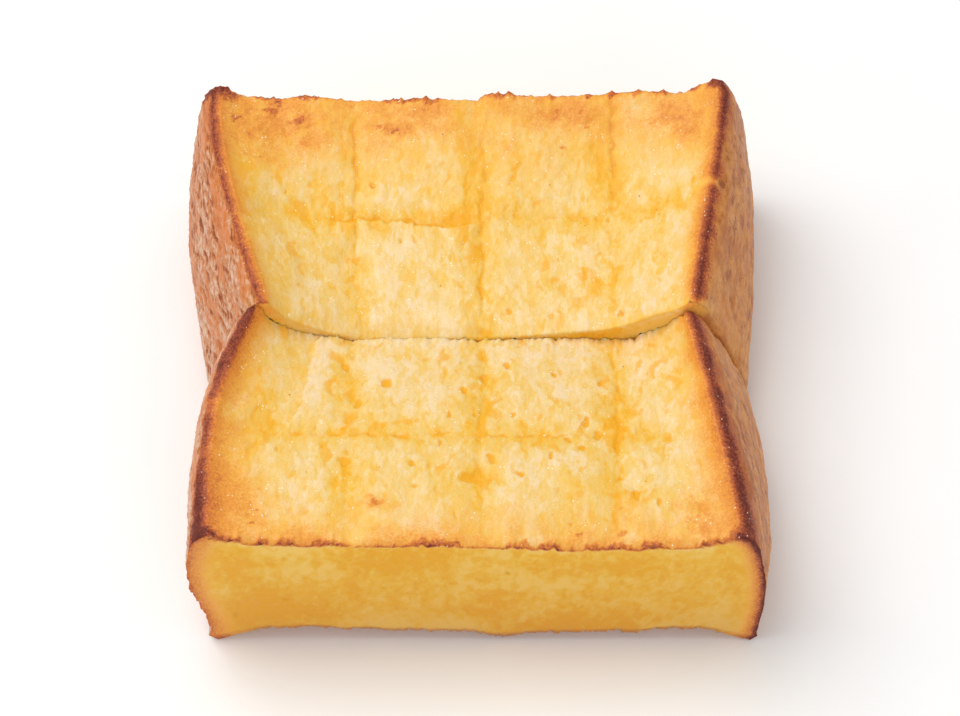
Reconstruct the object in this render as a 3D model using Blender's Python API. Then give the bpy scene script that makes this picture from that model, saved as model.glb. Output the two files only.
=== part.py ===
"""French toast: a thick square slab of soaked and baked bread, cut across into two halves.

The halves lie together in the slab's own shape. Browned crust is left on the two long sides
only, so the front, the back and both faces of the cut are bare crumb. The crusts stand proud of
the soft top, which has sunk between them, deepest at the cut, where the sides draw in as well.

Metres, +Z up. X runs from crust to crust, Y from front to back, and the origin is the middle of
the footprint, on the surface that the slab rests on.
"""

import math
from collections import namedtuple

import bmesh
import bpy
import numpy as np

MM = 0.001

# Driving sizes, in millimetres.
SLAB_LENGTH = 122.0  # front to back, over both halves
FOOT_GAP = 0.3  # between the two halves, where they meet low down
MOUTH_GAP = 1.7  # between the two halves, at the top of the cut
MOUTH_DEPTH = 14.0  # how far down the cut that opening reaches

# One crusted side of one half. Widths are from the slab's middle line out to the side.
#   foot    at the resting surface, by the cut and at the end
#   rim     at the crust's top edge, by the cut and at the end, and how fast it moves between them
#   belly   how far the crust bulges beyond the line from foot to rim: by the cut, more halfway
#           along, and at the end
#   belly_low  below 1, the bulge by the cut sits lower than mid height
#   height  of the crust's top edge, by the cut and at the end
Side = namedtuple(
    "Side",
    "foot_cut foot_end rim_cut rim_end rim_power belly_cut belly_more belly_end belly_low "
    "height_cut height_end",
)
REAR_LEFT = Side(61.0, 60.0, 48.8, 62.6, 1.45, 3.7, 3.6, 4.1, 0.62, 46.2, 45.4)
REAR_RIGHT = Side(61.8, 60.6, 51.3, 59.8, 1.0, 3.7, 2.4, 4.0, 0.62, 46.0, 48.5)
FRONT_LEFT = Side(60.0, 59.2, 51.6, 61.8, 3.2, 4.0, 0.7, 3.5, 0.62, 44.8, 47.2)
FRONT_RIGHT = Side(61.3, 63.0, 50.3, 61.8, 1.15, 4.2, 2.9, 2.8, 0.62, 44.5, 46.2)
SHOULDER = 3.2  # how far each crust turns in as it meets the top
SHOULDER_TALL = 1.6  # the height of that turn, as a multiple of SHOULDER
HEEL = 2.0  # radius that turns each crust under, at its foot

# How far the soft top has sunk between the two crusts of one half.
#   sink_cut, sink_end    at the cut and at the far end from it
#   sink_power            how fast it gets shallower along the half
#   flat_left, flat_right, flat_end    how flat its floor is across the slab: at the cut, on its
#                         left and its right, and at the far end. 2 is a round dish
Top = namedtuple("Top", "sink_cut sink_end sink_power flat_left flat_right flat_end")
REAR_TOP = Top(13.2, 5.0, 3.0, 5.5, 2.6, 6.0)
FRONT_TOP = Top(13.8, 4.0, 2.2, 6.5, 9.0, 9.0)

SCORE_AT = (-0.48, 0.05, 0.58)  # scored lines along the slab, as a share of its half width
CROSS_SCORE_AT = 0.5  # scored line across each half, as a share of its length
SCORE_HALF_WIDTH = 1.9
SCORE_DEPTH = 1.2
SCORE_ROUND = 0.8  # 1 is a sharp V, less is rounder
SCORE_STOPS = 6.0  # how sharply the cross line fades out at the crusts
# How far each top edge along the cut is worn down, on its left and its right.
CUT_EDGE_DROP = {"rear": (2.6, 1.2), "front": (1.0, 1.0)}
CUT_EDGE_BLEND = 0.3  # how far either side of the middle line that wear changes over
CUT_EDGE_REACH = 6.0  # how far back from the cut that wear reaches
END_EDGE_DROP = 0.8  # the same along the outer ends
END_EDGE_REACH = 2.5
ARCH_HEIGHT = 3.7  # how far the underside lifts off the surface at the outer ends
ARCH_FROM = 0.74  # where along a half that lift begins, as a share of its length
ARCH_POWER = 1.6  # how late along that stretch it lifts
ARCH_FLAT = 12  # how flat it is from crust to crust
MOUTH_POWER = 1.5  # how the cut's opening widens with height

# Where the block is divided before it is shaped, as shares of its width, length and height.
ACROSS_MARKS = (0.13, 0.25, 0.37, 0.62, 0.73, 0.83, 0.91, 0.965)
ALONG_MARKS = (0.025, 0.06, 0.11, 0.22, 0.34, 0.65, 0.78, 0.88, 0.96, 0.985)
UP_MARKS = (0.02, 0.045, 0.15, 0.3, 0.45, 0.6, 0.74, 0.84, 0.9, 0.94, 0.97, 0.99)
SHARP_EDGE = 50.0  # degrees

HALF_LENGTH = SLAB_LENGTH / 2
HALF_WIDTH = (REAR_LEFT.rim_end + REAR_RIGHT.rim_end) / 2
HEIGHT = REAR_LEFT.height_cut

COLLECTION_NAME = "french_toast"
TOASTED_TOP = (0.83, 0.50, 0.15, 1.0)
ROUGHNESS = 0.55


def between(share, at_zero, at_one):
    """The value that goes in a straight line from at_zero to at_one as share goes from 0 to 1."""
    return at_zero + (at_one - at_zero) * share


def turned_in(share, radius_share):
    """How far a rounded edge has turned in, 0 to 1, over the last radius_share of a side."""
    reach = np.clip((share - (1 - radius_share)) / radius_share, 0.0, 1.0)
    return 1 - np.sqrt(1 - reach**2)


def crust(side, along, up):
    """Distance out from the middle line, and height, of a crust.

    along is 0 at the cut and 1 at the end. up is 0 at the foot and 1 at the top edge. The crust
    is the straight line from foot to rim, plus a half sine wave for its bulge, less the rounding
    of its shoulder and its heel.
    """
    back = 1 - along
    foot = between(back**2, side.foot_end, side.foot_cut)
    rim = side.rim_end - (side.rim_end - side.rim_cut) * back**side.rim_power
    belly = between(back**2, side.belly_end, side.belly_cut)
    belly = belly + side.belly_more * np.sin(math.pi * along)
    height = between(back, side.height_end, side.height_cut)
    bulge = belly * np.sin(math.pi * up ** between(back, 1.0, side.belly_low))
    shoulder = SHOULDER * turned_in(up, SHOULDER_TALL * SHOULDER / height)
    heel = HEEL * turned_in(1 - up, HEEL / height)
    return between(up, foot, rim) + bulge - shoulder - heel, height * up


def groove(distance):
    """Depth of a scored line at this distance from its middle: a rounded V."""
    near = np.clip(1 - np.abs(distance) / SCORE_HALF_WIDTH, 0.0, 1.0)
    return SCORE_DEPTH * near**SCORE_ROUND


def worn_edge(distance, drop, reach):
    """How far a top edge is worn down at this distance from it: a parabola that ends at reach."""
    return drop * np.clip(1 - distance / reach, 0.0, 1.0) ** 2


def half_point(name, left, right, top, across, along, up):
    """Where a point of the unit block goes, in millimetres, for one half.

    across is -1 at the left crust and 1 at the right one, along is 0 at the cut and 1 at the
    outer end, and up is 0 at the underside and 1 at the top.
    """
    left_x, left_z = crust(left, along, up)
    right_x, right_z = crust(right, along, up)
    share = (across + 1) / 2
    x = between(share, -left_x, right_x)

    distance = along * HALF_LENGTH
    back = 1 - along
    if name == "rear":
        sink = between(along**top.sink_power, top.sink_cut, top.sink_end)
    else:
        sink = between(back**top.sink_power, top.sink_end, top.sink_cut)
    flat_cut = top.flat_left if across < 0 else top.flat_right
    flatness = between(back, top.flat_end, flat_cut)
    inside = 1 - np.abs(across) ** flatness
    lines = [groove((across - at) * HALF_WIDTH) for at in SCORE_AT]
    lines.append(groove((along - CROSS_SCORE_AT) * HALF_LENGTH))
    scored = max(lines) * min(1.0, SCORE_STOPS * (1 - abs(across)))
    rightward = np.clip(0.5 + across / CUT_EDGE_BLEND / 2, 0.0, 1.0)
    cut_drop = between(rightward, *CUT_EDGE_DROP[name])
    worn = worn_edge(distance, cut_drop, CUT_EDGE_REACH) * inside**0.5
    worn = worn + worn_edge(HALF_LENGTH - distance, END_EDGE_DROP, END_EDGE_REACH)
    lifted = np.clip((along - ARCH_FROM) / (1 - ARCH_FROM), 0.0, 1.0) ** ARCH_POWER
    lifted = ARCH_HEIGHT * lifted * (1 - across**ARCH_FLAT)
    drop = sink * inside + scored + worn
    z = between(share, left_z, right_z) - drop * up + lifted * (1 - up)

    opening = np.clip(1 - (HEIGHT - z) / MOUTH_DEPTH, 0.0, 1.0) ** MOUTH_POWER
    gap = FOOT_GAP + (MOUTH_GAP - FOOT_GAP) * opening
    y = gap / 2 + along * (HALF_LENGTH - gap / 2)
    return x, y, z


def stations(marks, lines, beside):
    """marks, with a close pair added beside each scored line, in order."""
    close = [at + step for at in lines for step in (-beside, 0.0, beside)]
    return sorted(set(marks) | set(close))


def divide_block(mesh, axis, at):
    """Cuts a row of edges round the block, square to the axis."""
    point = [0.0, 0.0, 0.0]
    normal = [0.0, 0.0, 0.0]
    point[axis] = at
    normal[axis] = 1.0
    everything = list(mesh.verts) + list(mesh.edges) + list(mesh.faces)
    bmesh.ops.bisect_plane(mesh, geom=everything, plane_co=point, plane_no=normal)


def principled(name, colour, roughness):
    material = bpy.data.materials.new(name)
    material.use_nodes = True
    shader = material.node_tree.nodes["Principled BSDF"]
    shader.inputs["Base Color"].default_value = colour
    shader.inputs["Roughness"].default_value = roughness
    shader.inputs["Metallic"].default_value = 0.0
    return material


def toast_half(name, direction, left, right, top, collection):
    """One half of the slab: a finely divided block, moved point by point into its baked shape.

    direction is 1 for the half behind the cut and -1 for the one before it.
    """
    mesh = bmesh.new()
    bmesh.ops.create_cube(mesh, size=1.0)
    for vertex in mesh.verts:
        vertex.co = (2 * vertex.co.x, vertex.co.y + direction / 2, vertex.co.z + 0.5)
    across = [sign * at for at in ACROSS_MARKS for sign in (-1, 1)]
    for at in stations(across, SCORE_AT, SCORE_HALF_WIDTH / HALF_WIDTH):
        divide_block(mesh, 0, at)
    for at in stations(ALONG_MARKS, (CROSS_SCORE_AT,), SCORE_HALF_WIDTH / HALF_LENGTH):
        divide_block(mesh, 1, direction * at)
    for at in UP_MARKS:
        divide_block(mesh, 2, at)
    for vertex in mesh.verts:
        x, y, z = half_point(
            name, left, right, top, vertex.co.x, abs(vertex.co.y), vertex.co.z
        )
        vertex.co = (x * MM, direction * y * MM, z * MM)

    data = bpy.data.meshes.new(f"toast_{name}_half")
    mesh.to_mesh(data)
    mesh.free()
    data.shade_smooth()
    data.set_sharp_from_angle(angle=math.radians(SHARP_EDGE))
    data.materials.append(principled(f"{name}_half_bread", TOASTED_TOP, ROUGHNESS))
    half = bpy.data.objects.new(f"toast_{name}_half", data)
    collection.objects.link(half)
    return half


def centre_footprint(halves):
    """Moves both halves alike, so that the middle of their shared footprint is the origin."""
    points = np.array([tuple(v.co) for half in halves for v in half.data.vertices])
    middle = (points.min(axis=0) + points.max(axis=0)) / 2
    for half in halves:
        half.location = (-middle[0], -middle[1], -points[:, 2].min())


def main():
    for old in list(bpy.data.objects):
        bpy.data.objects.remove(old, do_unlink=True)
    collection = bpy.data.collections.new(COLLECTION_NAME)
    bpy.context.scene.collection.children.link(collection)
    halves = [
        toast_half("rear", 1, REAR_LEFT, REAR_RIGHT, REAR_TOP, collection),
        toast_half("front", -1, FRONT_LEFT, FRONT_RIGHT, FRONT_TOP, collection),
    ]
    centre_footprint(halves)


main()
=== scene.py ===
# %% [markdown]
# # French toast: a thick slab of soaked bread, baked and cut across
#
# The slab comes from a square tin loaf. It was soaked in egg and milk, baked until its top
# edges browned, and cut across the middle. Two crusts are left, on the left and the right. The
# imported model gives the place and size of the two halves. This lesson gives them their crumb,
# their crust and their browning.

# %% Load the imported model
import itertools
import math
from types import SimpleNamespace

import bpy
import numpy as np
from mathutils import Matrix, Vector


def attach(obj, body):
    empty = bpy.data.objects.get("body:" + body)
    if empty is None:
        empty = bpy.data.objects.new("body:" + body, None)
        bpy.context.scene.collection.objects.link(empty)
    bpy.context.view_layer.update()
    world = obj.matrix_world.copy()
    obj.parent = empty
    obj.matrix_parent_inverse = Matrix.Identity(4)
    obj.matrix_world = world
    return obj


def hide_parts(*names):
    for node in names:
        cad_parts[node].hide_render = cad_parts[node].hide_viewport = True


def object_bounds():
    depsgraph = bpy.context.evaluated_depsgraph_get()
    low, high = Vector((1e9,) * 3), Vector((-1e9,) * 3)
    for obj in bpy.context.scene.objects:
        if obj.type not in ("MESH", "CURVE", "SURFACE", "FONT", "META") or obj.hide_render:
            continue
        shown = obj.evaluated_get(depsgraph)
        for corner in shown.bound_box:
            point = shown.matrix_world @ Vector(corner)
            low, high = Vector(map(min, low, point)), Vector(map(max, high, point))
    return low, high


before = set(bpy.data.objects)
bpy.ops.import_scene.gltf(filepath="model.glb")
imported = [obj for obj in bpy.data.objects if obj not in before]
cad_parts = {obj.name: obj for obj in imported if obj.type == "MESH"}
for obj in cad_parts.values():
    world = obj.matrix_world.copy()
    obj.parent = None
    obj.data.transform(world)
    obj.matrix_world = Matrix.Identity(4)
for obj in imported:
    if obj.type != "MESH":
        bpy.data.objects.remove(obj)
cad_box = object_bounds()
MM = 0.001
print("nodes:", sorted(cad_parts))

# %% [markdown]
# ## The slab's own sizes
#
# A formula can only make the slab again if it starts from the same sizes as the solid model.
# So the driving sizes are written down once more, in millimetres, and the front-to-back length
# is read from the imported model. Each half has two crusted sides. A side is told by its foot,
# its rim and its belly, which are how far out it stands at the bottom, at the top and between.

# %% Driving sizes
low, high = (np.array(corner) / MM for corner in cad_box)
HALF_LENGTH = (high[1] - low[1]) / 2
FOOT_GAP, MOUTH_GAP, MOUTH_DEPTH = 0.3, 1.7, 14.0

SIDE_KEYS = (
    "foot_cut foot_end rim_cut rim_end rim_power belly_cut belly_more belly_end "
    "height_cut height_end"
).split()


def side(*sizes):
    """The named sizes of one crusted side of one half."""
    return dict(zip(SIDE_KEYS, sizes, strict=True))


# Sink is how far the top sank, and flat is how flat its floor is: the higher, the flatter. The
# drop is how far the top edge at the cut wore down, on the left and on the right.
HALVES = {
    "rear": {
        "direction": 1,
        "left": side(61.0, 60.0, 48.8, 62.6, 1.45, 3.7, 3.6, 4.1, 46.2, 45.4),
        "right": side(61.8, 60.6, 51.3, 59.8, 1.0, 3.7, 2.4, 4.0, 46.0, 48.5),
        "sink": (13.2, 5.0),
        "flat": (5.5, 2.6, 6.0),
        "cut_drop": (2.6, 1.2),
    },
    "front": {
        "direction": -1,
        "left": side(60.0, 59.2, 51.6, 61.8, 3.2, 4.0, 0.7, 3.5, 44.8, 47.2),
        "right": side(61.3, 63.0, 50.3, 61.8, 1.15, 4.2, 2.9, 2.8, 44.5, 46.2),
        "sink": (13.8, 4.0),
        "flat": (6.5, 9.0, 9.0),
        "cut_drop": (1.0, 1.0),
    },
}
BELLY_LOW = 0.62
SHOULDER, SHOULDER_TALL, HEEL = 3.2, 1.6, 2.0
SCORE_AT = (-27.9, 1.9, 31.8)
CROSS_SCORE_AT = 0.5
ARCH_HEIGHT, ARCH_FROM = 3.7, 0.74
HEIGHT = HALVES["rear"]["left"]["height_cut"]
HALF_WIDTH = (high[0] - low[0]) / 2
print("half length", round(float(HALF_LENGTH), 1), "mm, half width", round(float(HALF_WIDTH), 1))

# %% [markdown]
# ## The baked shape of one half
#
# A block of bread has six faces, and every point of it can be named by three shares: how far
# across, how far along from the cut, and how far up. One function says where each named point
# went in the oven. The crusts bulge out low down and lean in at the rim. The soft top sank
# between them, deepest at the cut, and the ends lifted a little off the tray.


# %% From shares of a block to places in the slab
def between(share, at_zero, at_one):
    """The value that goes in a straight line from at_zero to at_one as share goes from 0 to 1."""
    return at_zero + (at_one - at_zero) * share


def turned_in(share, radius_share):
    """How far a rounded edge has turned in: 1 less the height of a quarter circle."""
    reach = np.clip((share - (1 - radius_share)) / radius_share, 0.0, 1.0)
    return 1 - np.sqrt(1 - reach**2)


def crust_place(sizes, along, up):
    """Distance out and height of a crust.

    It is the straight line from foot to rim, plus half a sine wave for the bulge, less the
    rounding of its shoulder and its heel.
    """
    back = 1 - along
    foot = between(back**2, sizes["foot_end"], sizes["foot_cut"])
    reach = sizes["rim_end"] - sizes["rim_cut"]
    rim = sizes["rim_end"] - reach * back ** sizes["rim_power"]
    belly = between(back**2, sizes["belly_end"], sizes["belly_cut"])
    belly = belly + sizes["belly_more"] * np.sin(math.pi * along)
    height = between(back, sizes["height_end"], sizes["height_cut"])
    bulge = belly * np.sin(math.pi * up ** between(back, 1.0, BELLY_LOW))
    shoulder = SHOULDER * turned_in(up, SHOULDER_TALL * SHOULDER / height)
    heel = HEEL * turned_in(1 - up, HEEL / height)
    return between(up, foot, rim) + bulge - shoulder - heel, height * up


def half_place(half, across, along, up):
    """Where points of the unit block go, in millimetres, before any fine relief."""
    left_x, left_z = crust_place(half["left"], along, up)
    right_x, right_z = crust_place(half["right"], along, up)
    share = (across + 1) / 2
    x = between(share, -left_x, right_x)
    back = 1 - along
    sink_cut, sink_end = half["sink"]
    if half["direction"] > 0:
        sink = between(along**3.0, sink_cut, sink_end)
    else:
        sink = between(back**2.2, sink_end, sink_cut)
    flat_left, flat_right, flat_end = half["flat"]
    flat_cut = np.where(across < 0, flat_left, flat_right)
    inside = 1 - np.abs(across) ** between(back, flat_end, flat_cut)
    cut_drop = between(np.clip(0.5 + across / 0.6, 0, 1), *half["cut_drop"])
    edge_offset = cut_drop * np.clip(1 - along * HALF_LENGTH / 6.0, 0, 1) ** 2 * inside**0.5
    edge_offset = edge_offset + 0.8 * np.clip(1 - back * HALF_LENGTH / 2.5, 0, 1) ** 2
    lifted = np.clip((along - ARCH_FROM) / (1 - ARCH_FROM), 0, 1) ** 1.6
    lifted = ARCH_HEIGHT * lifted * (1 - across**12)
    z = between(share, left_z, right_z) - (sink * inside + edge_offset) * up + lifted * (1 - up)
    opening = np.clip(1 - (HEIGHT - z) / MOUTH_DEPTH, 0, 1) ** 1.5
    gap = FOOT_GAP + (MOUTH_GAP - FOOT_GAP) * opening
    y = gap / 2 + along * (HALF_LENGTH - gap / 2)
    return np.stack([x, half["direction"] * y, z], axis=1)


# %% [markdown]
# ## A skin of fine squares over the block
#
# Real crumb shows pores and fibres well under a millimetre wide, so the skin needs squares of
# about 0.4 mm. A subdivided cube would do, but it spends as many squares on the hidden
# underside as on the top. Here only the skin of a grid of points is kept, and the underside is
# one sixth as fine each way, with its outer squares closed by many-sided faces.


# %% Build the skin
def block_skin(across_steps, along_steps, up_steps, coarse):
    """(grid places, faces) of the skin of a block of points; the underside is coarser."""
    shape = (across_steps + 1, along_steps + 1, up_steps + 1)
    keep = np.ones(shape, bool)
    keep[1:-1, 1:-1, 1:-1] = False
    keep[1:-1, 1:-1, 0] = False
    keep[coarse:-1:coarse, coarse:-1:coarse, 0] = True
    number = np.full(shape, -1)
    number[keep] = np.arange(keep.sum())

    def squares(grid, turned):
        """The squares between the points of one face of the block."""
        corners = [grid[:-1, :-1], grid[1:, :-1], grid[1:, 1:], grid[:-1, 1:]]
        quads = np.stack(corners[::-1] if turned else corners, axis=-1)
        return quads.reshape(-1, 4).tolist()

    faces = squares(number[:, :, -1], False)
    faces += squares(number[0], True) + squares(number[-1], False)
    faces += squares(number[:, 0], False) + squares(number[:, -1], True)
    faces += coarse_faces(number[:, :, 0], coarse)
    return np.argwhere(keep), faces


def coarse_faces(grid, coarse):
    """Faces of the underside, each `coarse` steps wide, that use every point of its border."""
    faces = []
    rows, columns = grid.shape
    for i, j in itertools.product(range(0, rows - 1, coarse), range(0, columns - 1, coarse)):
        cell = grid[i : i + coarse + 1, j : j + coarse + 1]
        ring = [*cell[0, :], *cell[1:, -1], *cell[-1, -2::-1], *cell[-2:0:-1, 0]]
        faces.append([int(point) for point in ring if point >= 0])
    return faces


ACROSS_STEPS, ALONG_STEPS, UP_STEPS, COARSE = 312, 144, 54, 6
places, skin_faces = block_skin(ACROSS_STEPS, ALONG_STEPS, UP_STEPS, COARSE)
ACROSS = places[:, 0] / ACROSS_STEPS * 2 - 1
ALONG = places[:, 1] / ALONG_STEPS
UP = (places[:, 2] / UP_STEPS) ** 0.8
# Which face of the block a point is on. The cut faces are the one at the cut and the outer end.
ON_TOP = places[:, 2] == UP_STEPS
UNDER = places[:, 2] == 0
ON_SIDE = np.abs(ACROSS) == 1
LEFT = ACROSS < 0
AT_CUT = places[:, 1] == 0
AT_END = places[:, 1] == ALONG_STEPS
ON_KNIFE = AT_CUT | AT_END
print("points", len(places), "faces", len(skin_faces), "on top", ON_TOP.sum())

# %% [markdown]
# ## Noise, worked out for every point at once
#
# Bread is uneven at every scale, and the unevenness must run on over edges from one face to
# the next. Noise in three dimensions does that, because it depends only on where a point is.
# Gradient noise gives soft bumps, and cell noise gives separate pores. Both are seeded, so
# every run bakes the same slab.


# %% Soft bumps
def scattered(cells, seed):
    """Three numbers from 0 to 1 for each whole-numbered cell, always the same for that cell."""
    mixed = cells.astype(np.int64) @ np.array([73856093, 19349663, 83492791], np.int64)
    mixed = (mixed + seed * 2654435761).astype(np.uint64)
    for shift, factor in ((30, 0xBF58476D1CE4E5B9), (27, 0x94D049BB133111EB)):
        mixed = (mixed ^ (mixed >> np.uint64(shift))) * np.uint64(factor)
    mixed ^= mixed >> np.uint64(31)
    parts = [(mixed >> np.uint64(21 * k)) & np.uint64(0x1FFFFF) for k in range(3)]
    return np.stack(parts, axis=1) / 0x1FFFFF


def bumps(points, size, seed):
    """Gradient noise from about -1 to 1, whose bumps are about `size` millimetres wide."""
    spot = points / np.asarray(size, float)
    base = np.floor(spot)
    part = spot - base
    fade = part**3 * (part * (part * 6 - 15) + 10)
    total = np.zeros(len(points))
    for corner in itertools.product((0, 1), repeat=3):
        corner = np.array(corner)
        slope = scattered(base + corner, seed) * 2 - 1
        weight = np.where(corner, fade, 1 - fade).prod(axis=1)
        total += weight * (slope * (part - corner)).sum(axis=1)
    return total * 1.6


def layered(points, size, seed, layers=3):
    """Bumps, plus half as strong ones half as wide, and so on."""
    size = np.asarray(size, float)
    return sum(bumps(points, size / 2**k, seed + k) / 2**k for k in range(layers))


# %% Cells, and the pores and flakes made from them
def cells(points, size, seed):
    """(distance to the nearest of many scattered spots, a number from 0 to 1 for that spot)."""
    spot = points / np.asarray(size, float)
    base = np.floor(spot)
    nearest = np.full(len(points), 9.0)
    number = np.ones(len(points))
    for corner in itertools.product((-1, 0, 1), repeat=3):
        random = scattered(base + corner, seed)
        distance = np.linalg.norm(base + corner + 0.15 + 0.7 * random - spot, axis=1)
        closer = distance < nearest
        nearest = np.where(closer, distance, nearest)
        number = np.where(closer, random.sum(axis=1) * 7.3 % 1, number)
    return nearest, number


def pores(points, size, seed, share, wide=0.42):
    """1 in the middle of a pore and 0 outside it. `share` of the spots are pores."""
    distance, number = cells(points, size, seed)
    radius = wide * (0.45 + 0.55 * number / share)
    return np.where(number < share, np.clip(1 - distance / radius, 0, 1), 0)


def flakes(points, size, seed):
    """A patchwork of flat flakes about `size` millimetres wide, from -0.5 to 0.5."""
    return cells(points, size, seed)[1] - 0.5


# %% Bending a pattern, and simple curves
def warped(points, size, reach, seed):
    """The points, each moved by up to `reach`, so that patterns worked out from them bend."""
    moves = [bumps(points, size, seed + k) for k in range(3)]
    return points + reach * np.stack(moves, axis=1)


def step(value, start, end):
    """0 below start, 1 above end, and a smooth S curve between."""
    share = np.clip((value - start) / (end - start), 0, 1)
    return share * share * (3 - 2 * share)


def profile(value, table):
    """Straight lines through a table of (value, result) pairs."""
    return np.interp(value, [row[0] for row in table], [row[1] for row in table])


# %% [markdown]
# ## Where on the slab a point is
#
# Nearly everything that follows depends on how far a point is from an edge: the rim, the cut,
# the outer end. So those distances are worked out once for each half, in millimetres.


# %% Distances from the edges
def survey(half, points):
    """How far each point of a half is from its edges, and two noises that many masks share.

    The distance past the rim is a straight line to the rim's nearest cross-section point. It is
    positive on the crust and negative on the top.
    """
    left_x, _ = crust_place(half["left"], ALONG, UP)
    right_x, _ = crust_place(half["right"], ALONG, UP)
    share = (ACROSS + 1) / 2
    rim = half_place(half, np.where(LEFT, -1.0, 1.0), ALONG, np.ones(len(UP))) + slide
    to_rim = np.linalg.norm(points - rim, axis=1)
    return SimpleNamespace(
        points=points,
        inward=(left_x + right_x) * np.minimum(share, 1 - share),
        down=(1 - UP) * HEIGHT,
        from_end=(1 - ALONG) * HALF_LENGTH,
        from_cut=ALONG * HALF_LENGTH,
        past_rim=np.where(ON_SIDE, to_rim, -to_rim),
        wander=layered(points, 7.0, 5),
        grain=layered(points, 1.1, 11),
    )


def face_normals(points, faces):
    """Unit normals at the points: each square adds its own to its four corners."""
    quads = np.array([face for face in faces if len(face) == 4])
    corner = points[quads]
    flat = np.cross(corner[:, 2] - corner[:, 0], corner[:, 3] - corner[:, 1])
    total = np.zeros_like(points)
    for axis in range(3):
        sums = [np.bincount(quads[:, k], flat[:, axis], len(points)) for k in range(4)]
        total[:, axis] = np.sum(sums, axis=0)
    return total / np.maximum(np.linalg.norm(total, axis=1, keepdims=True), 1e-12)


def near_places(points, spots_list, bend=0.0):
    """1 at listed places and 0 away from them.

    Each place is (x, y, half width, half length), in millimetres. Around it the value is a bell
    curve, whose outline is bent by noise.
    """
    x = points[:, 0] + bend * bumps(points, 2.5, 81)
    y = points[:, 1] + bend * bumps(points, 2.5, 82)
    total = np.zeros(len(points))
    for at_x, at_y, wide, long in spots_list:
        total = np.maximum(total, np.exp(-(((x - at_x) / wide) ** 2) - ((y - at_y) / long) ** 2))
    return total


# %% [markdown]
# ## Scored lines
#
# Three lines run along the slab and one runs across each half. They were scored before baking,
# so they are soft valleys between puffed cells, not saw cuts, and soaked egg has gathered in
# them. Each valley is a rounded V whose middle wanders from side to side.


# %% The scored grid
# How clearly each line shows, at five places from the cut to the outer end. The fourth row is
# the cross line, from the left crust to the right one.
SCORE_SHOWS = {
    "rear": (
        (0.2, 0.35, 0.7, 0.9, 0.3),
        (0.5, 0.6, 0.9, 0.8, 0.3),
        (0.15, 0.3, 0.6, 0.8, 0.8),
        (0.1, 0.5, 0.7, 0.3, 0.15),
    ),
    "front": (
        (0.8, 0.7, 0.5, 0.4, 0.3),
        (0.5, 0.8, 0.8, 0.5, 0.3),
        (0.6, 0.7, 0.7, 0.4, 0.3),
        (0.15, 0.5, 0.5, 0.35, 0.1),
    ),
}
# The same for the thin crack at the bottom of each line.
CRACK_SHOWS = {
    "rear": (
        (0.0, 0.1, 0.8, 0.9, 0.2),
        (0.4, 0.6, 0.7, 0.4, 0.1),
        (0.0, 0.0, 0.3, 0.9, 0.8),
        (0.0, 0.3, 0.0, 0.5, 0.0),
    ),
    "front": (
        (0.3, 0.2, 0.1, 0.0, 0.0),
        (0.1, 0.3, 0.3, 0.1, 0.0),
        (0.5, 0.5, 0.2, 0.1, 0.0),
        (0.0, 0.7, 0.7, 0.3, 0.0),
    ),
}


def scored(name, spots):
    """(valleys, soaked strips beside them, thin cracks, all from 0 to 1, and puffed height)."""
    points = spots.points
    drift = 0.9 * bumps(points, (9.0, 11.0, 30.0), 21) + 0.7 * layered(points, 3.6, 24)
    width = 1.7 + 1.3 * bumps(points, (5.0, 5.0, 30.0), 22)
    offs = [points[:, 0] - at + drift for at in SCORE_AT]
    offs[0] = offs[0] - 2.6 * np.exp(-spots.from_cut / 14.0) * (name == "rear")
    offs.append((ALONG - CROSS_SCORE_AT) * HALF_LENGTH + drift)
    along_line = [ALONG] * 3 + [(ACROSS + 1) / 2]

    def shown(table):
        """How clearly each of the four lines shows at every point."""
        rows = zip(along_line, table[name], strict=True)
        return [np.interp(share, (0, 0.25, 0.5, 0.75, 1), row) for share, row in rows]

    gaps = step(bumps(points, (3.5, 3.5, 30.0), 23), -0.5, 0.3)
    fade = step(spots.inward, 2.0, 8.0)
    depths, strips, cracks = [], [], []
    wiggle = 0.3 * layered(points, 2.0, 26)
    for off, show, thin in zip(offs, shown(SCORE_SHOWS), shown(CRACK_SHOWS), strict=True):
        depths.append(np.clip(1 - np.abs(off) / width, 0, 1) * show)
        strips.append(np.exp(-((off / np.where(off > 0, 2.4, 4.8)) ** 2)) * (0.3 + 0.8 * show))
        cracks.append(step(0.4 * thin - np.abs(off + wiggle), -0.35, 0.15) * step(thin, 0.1, 0.5))
    puffed = step(np.min(np.abs(offs), axis=0), 0.3, 7.0) * fade
    cracks = np.max(cracks, axis=0) * fade * gaps
    return np.max(depths, axis=0) * gaps * fade, np.max(strips, axis=0) * fade, cracks, puffed


def ledge(name, points):
    """(height of a curled edge, the groove behind it) for one cell of the rear half.

    The cell nearest the cut curled up along its far edge, so it hides part of the cross line.
    """
    if name != "rear":
        return np.zeros(len(points)), np.zeros(len(points))
    x = points[:, 0]
    edge = CROSS_SCORE_AT * HALF_LENGTH + 0.2 - 1.8 * np.exp(-(((x + 7.0) / 9.0) ** 2))
    before = edge + 0.8 * layered(points, 3.0, 25) - points[:, 1]
    across = step(x, -36.0, -24.0) * step(-x, -3.0, 2.0)
    raised = across * step(before, -0.3, 0.5) * np.exp(-np.clip(before, 0, None) / 5.0)
    thin = step(x, -40.0, -30.0) * step(-x, 4.0, 8.0) * np.exp(-(((before + 0.4) / 0.45) ** 2))
    broad = step(x, -10.0, -6.0) * step(-x, -2.5, 0.5) * np.exp(-(((before + 1.3) / 1.2) ** 2))
    return raised, np.maximum(thin * (0.55 + 0.45 * step(x, -20.0, -15.0)), 0.7 * broad)


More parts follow.
